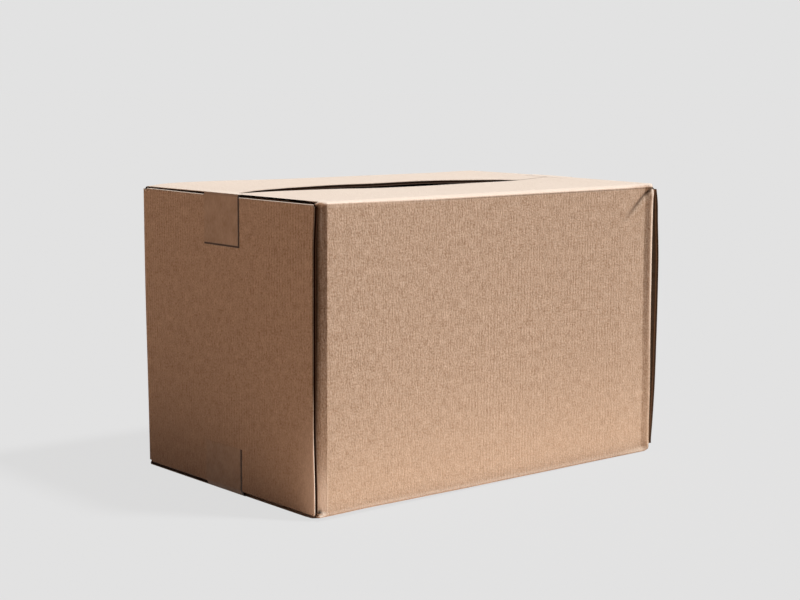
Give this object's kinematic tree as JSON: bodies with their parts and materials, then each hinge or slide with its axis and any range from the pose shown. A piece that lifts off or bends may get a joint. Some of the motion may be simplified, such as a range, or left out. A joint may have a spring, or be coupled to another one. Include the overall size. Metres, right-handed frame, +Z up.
{
  "type": "closed cardboard box",
  "caption": "Closed shipping box folded from one corrugated cardboard sheet, its flaps held shut by tape at the ends and along the bottom.",
  "frame": {"origin": "middle of the box's own bounding box, at its lowest level, on the surface it stands on", "axes": "+X along the length towards the bowed right end panel, the front panel faces -Y, +Z up"},
  "size_m": [0.3812, 0.238, 0.2437],
  "materials": {
    "cardboard": "matte brown kraft liner with faint flute lines and darker cut edges",
    "tape": "smooth brown kraft paper tape, slightly less rough than the board"
  },
  "bodies": {
    "root": {"carton": "cardboard", "top_tape_left": "tape", "top_tape_right": "tape", "bottom_tape": "tape"}
  },
  "joints": []
}
